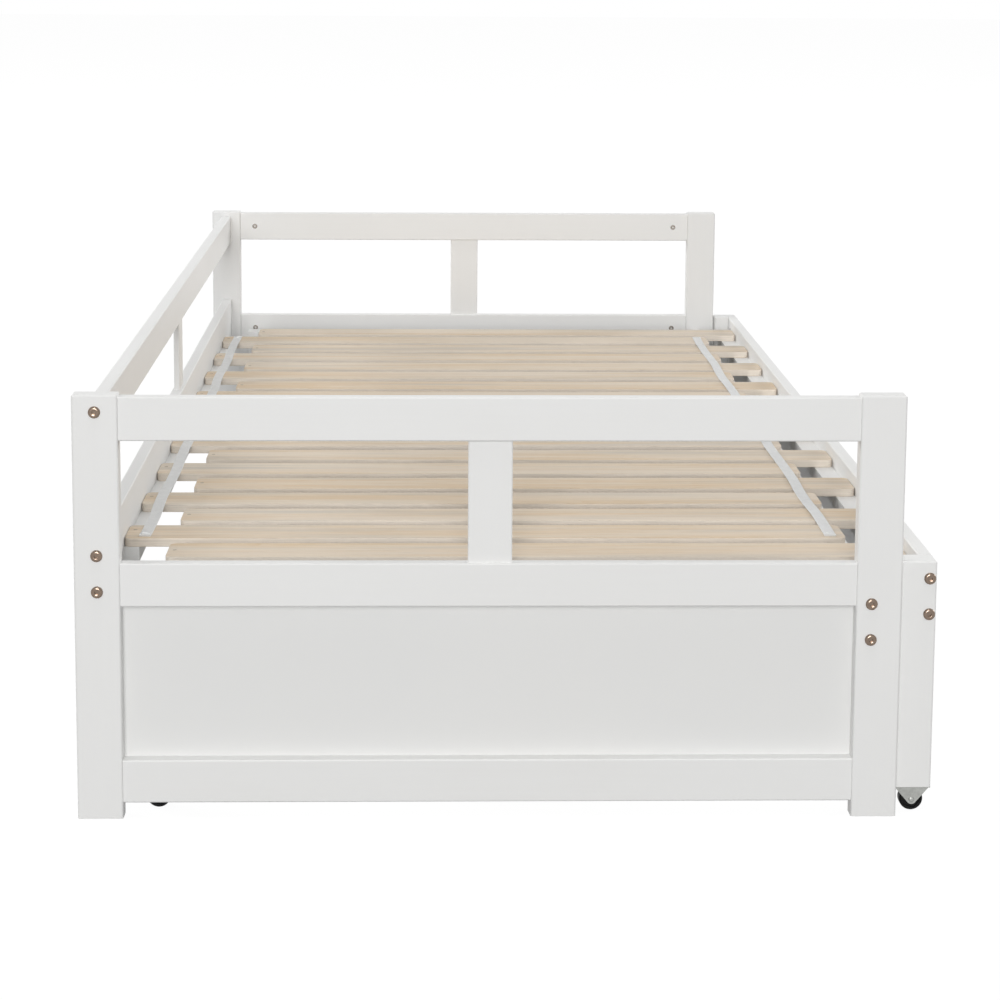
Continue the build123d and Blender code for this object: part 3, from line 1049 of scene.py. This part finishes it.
class DAYBED_OT_set_barrel_nuts(bpy.types.Operator):
    """Set the barrel nuts that the bolts run into, in the inner or rear faces of the rails."""

    bl_idname = "daybed.set_barrel_nuts"
    bl_label = "Set barrel nuts"

    def execute(self, context):
        settings = context.scene.daybed.fasteners
        finish = plated_steel("nut_steel", settings.nut_steel, roughness=0.25)
        places = {"frame": self.end_rail_nuts(settings), "pullout": []}
        for body, rails in LONG_RAILS.items():
            for rail in rails:
                places[body] += self.long_rail_nuts(rail, f"{body}_bolts", settings)
        for body, spots in places.items():
            name = f"{body}_barrel_nuts"
            mesh = fastened(name, nut_shape(settings), spots, finish, FULL_TURN, settings.seed)
            piece_from(name, mesh, body)
        return {"FINISHED"}

    def end_rail_nuts(self, settings):
        """Nuts on the inner faces of the upper two rails of each end."""
        spots = []
        for end, side in ENDS.items():
            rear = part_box(f"{end}_rear_leg")[1].x + settings.nut_from_leg
            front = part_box(f"{end}_front_leg")[0].x - settings.nut_from_leg
            for rail in ("top", "middle"):
                low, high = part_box(f"{end}_{rail}_rail")
                inner = low.y if side > 0 else high.y
                for x in (rear, front):
                    spots.append((Vector((x, inner, (low.z + high.z) / 2)), Vector((0, -side, 0))))
        return spots

    def long_rail_nuts(self, rail, bolts, settings):
        """Nuts on the rear face of a long rail, one in line with each bolt that enters its ends."""
        low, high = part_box(rail)
        spots = []
        for bolt_low, bolt_high in solids_of(bolts):
            centre = (bolt_low + bolt_high) / 2
            if low.x < centre.x < high.x and low.z < centre.z < high.z:
                tip = bolt_high.y if centre.y < 0 else bolt_low.y
                y = tip - math.copysign(settings.nut_radius, -centre.y)
                spots.append((Vector((low.x, y, centre.z)), Vector((-1, 0, 0))))
        return spots


class DAYBED_OT_fit_casters(bpy.types.Operator):
    """Fit the casters: plated brackets, riveted axles and black wheels on their own bodies."""

    bl_idname = "daybed.fit_casters"
    bl_label = "Fit casters"

    def execute(self, context):
        settings = context.scene.daybed.casters
        zinc = plated_steel("zinc_steel", settings.zinc, roughness=0.38, spangle=0.12)
        plastic = moulded_plastic(settings)
        pins = solids_of("caster_axles")
        low, high = pins[0]
        pin_radius = (high.x - low.x) / 2
        grip = high.y - low.y - 2 * settings.rivet_height
        places = [((low + high) / 2, Vector((0, 1, 0))) for low, high in pins]
        pattern = axle_shape(settings, pin_radius, grip)
        mesh = fastened("riveted_axles", pattern, places, zinc, turn=0.0, seed=0)
        piece_from("riveted_axles", mesh, "pullout", ["caster_axles"])
        for caster in CASTERS:
            coat(f"{caster}_caster_bracket", zinc)
            node = f"{caster}_caster_wheel"
            size = size_of(node)
            mesh = wheel_shape(settings, size.z / 2, size.y, pin_radius + settings.bore_clearance)
            mesh.transform(Matrix.Translation(middle_of(node)) @ Matrix.Rotation(math.pi / 2, 4, "X"))
            mesh.materials.append(plastic)
            piece_from(f"{caster}_wheel_moulding", mesh, f"{caster}_wheel", [node])
        return {"FINISHED"}


class DAYBED_OT_set_stage(bpy.types.Operator):
    """Set the floor, the even light, the lamps and the camera."""

    bl_idname = "daybed.set_stage"
    bl_label = "Set stage"

    def execute(self, context):
        settings = context.scene.daybed.stage
        context.scene.view_settings.view_transform = "Standard"
        self.set_world(context, settings)
        self.lay_floor(context, settings)
        self.hang_lamps(context, settings)
        self.place_camera(context, settings)
        return {"FINISHED"}

    def grey(self, tone):
        """A plain grey."""
        return (tone, tone, tone, 1.0)

    def seen(self, tree):
        """One for rays from the camera, from a reflection or through glass, and zero for other light."""
        paths = add(tree, "ShaderNodeLightPath").outputs
        direct = math_node(tree, "MAXIMUM", paths["Is Camera Ray"], paths["Is Glossy Ray"])
        return math_node(tree, "MAXIMUM", direct, paths["Is Transmission Ray"])

    def set_world(self, context, settings):
        """An even light all round, which looks white."""
        world = bpy.data.worlds.new("studio")
        context.scene.world = world
        world.use_nodes = True
        tree = world.node_tree
        tree.nodes.clear()
        light = add(tree, "ShaderNodeBackground", {"Color": WHITE, "Strength": settings.sky}).outputs[0]
        white = add(tree, "ShaderNodeBackground", {"Color": WHITE, "Strength": 1.0}).outputs[0]
        both = add(tree, "ShaderNodeMixShader", {0: self.seen(tree), 1: light, 2: white}).outputs[0]
        add(tree, "ShaderNodeOutputWorld", {"Surface": both})

    def lay_floor(self, context, settings):
        """A wide pale floor that looks white, with a faint shadow of the bed."""
        reach = settings.floor_reach
        mesh = bpy.data.meshes.new("studio_floor")
        corners = [(-reach, -reach, 0), (reach, -reach, 0), (reach, reach, 0), (-reach, reach, 0)]
        mesh.from_pydata(corners, [], [(0, 1, 2, 3)])
        finish = bpy.data.materials.new("studio_floor")
        finish.use_nodes = True
        tree = finish.node_tree
        tree.nodes.clear()
        plain = add(tree, "ShaderNodeBsdfDiffuse", {"Color": self.grey(settings.floor_tone)}).outputs[0]
        shadow = add(tree, "ShaderNodeBsdfDiffuse", {"Color": self.grey(settings.shadow_tone)}).outputs[0]
        glow = add(tree, "ShaderNodeEmission", {"Strength": settings.floor_glow}).outputs[0]
        shown = add(tree, "ShaderNodeAddShader", {0: shadow, 1: glow}).outputs[0]
        both = add(tree, "ShaderNodeMixShader", {0: self.seen(tree), 1: plain, 2: shown}).outputs[0]
        add(tree, "ShaderNodeOutputMaterial", {"Surface": both})
        mesh.materials.append(finish)
        floor = bpy.data.objects.new("studio_floor", mesh)
        context.scene.collection.objects.link(floor)

    def hang_lamps(self, context, settings):
        """Soft lamps, each strong enough to give about its strength of light at the middle of the bed."""
        distance = settings.lamp_distance
        for name, (comes_from, wide, high) in LAMPS.items():
            lamp = bpy.data.lights.new(name, "AREA")
            lamp.shape = "ELLIPSE"
            lamp.size = 2 * distance * math.tan(wide / 2)
            lamp.size_y = 2 * distance * math.tan(high / 2)
            lamp.energy = getattr(settings, name) * math.pi * distance**2
            hung = bpy.data.objects.new(name, lamp)
            context.scene.collection.objects.link(hung)
            towards = Vector(comes_from).normalized()
            hung.location = distance * towards
            hung.rotation_euler = towards.to_track_quat("Z", "Y").to_euler()

    def place_camera(self, context, settings):
        """The camera, turned by yaw, then pitch, then roll about its own axis."""
        pitch, roll, yaw = settings.camera_turn
        ahead = Vector((math.sin(yaw) * math.cos(pitch), math.cos(yaw) * math.cos(pitch), -math.sin(pitch)))
        camera = bpy.data.cameras.new("camera")
        camera.lens = settings.lens
        camera.shift_x, camera.shift_y = settings.shift
        stand = bpy.data.objects.new("camera", camera)
        context.scene.collection.objects.link(stand)
        level = ahead.to_track_quat("-Z", "Y").to_matrix().to_4x4()
        tilt = Matrix.Rotation(roll, 4, "Z")
        stand.matrix_world = Matrix.Translation(settings.camera_place) @ level @ tilt
        context.scene.camera = stand


OPERATORS = (
    DAYBED_OT_paint_timber,
    DAYBED_OT_lay_slats,
    DAYBED_OT_stretch_straps,
    DAYBED_OT_fasten_slats,
    DAYBED_OT_fit_bolts,
    DAYBED_OT_set_barrel_nuts,
    DAYBED_OT_fit_casters,
    DAYBED_OT_set_stage,
)


class DAYBED_PT_sidebar(bpy.types.Panel):
    """Settings and steps of the daybed."""

    bl_idname = "DAYBED_PT_sidebar"
    bl_label = "Daybed"
    bl_space_type = "VIEW_3D"
    bl_region_type = "UI"
    bl_category = "Daybed"

    def draw(self, context):
        layout = self.layout
        for group in SETTINGS:
            settings = getattr(context.scene.daybed, group)
            box = layout.box()
            box.label(text=group.capitalize())
            for key in settings.__annotations__:
                box.prop(settings, key)
        for operator in OPERATORS:
            layout.operator(operator.bl_idname)


CLASSES = (*SETTINGS.values(), DaybedSettings, *OPERATORS, DAYBED_PT_sidebar)


def register():
    """Registers the classes and the scene's settings."""
    for item in CLASSES:
        bpy.utils.register_class(item)
    bpy.types.Scene.daybed = PointerProperty(type=DaybedSettings)


def unregister():
    """Takes the settings and classes away again."""
    del bpy.types.Scene.daybed
    for item in reversed(CLASSES):
        bpy.utils.unregister_class(item)


def main():
    register()
    bpy.ops.daybed.paint_timber()
    bpy.ops.daybed.lay_slats()
    bpy.ops.daybed.stretch_straps()
    bpy.ops.daybed.fasten_slats()
    bpy.ops.daybed.fit_bolts()
    bpy.ops.daybed.set_barrel_nuts()
    bpy.ops.daybed.fit_casters()
    bpy.ops.daybed.set_stage()


if __name__ == "__main__":
    main()
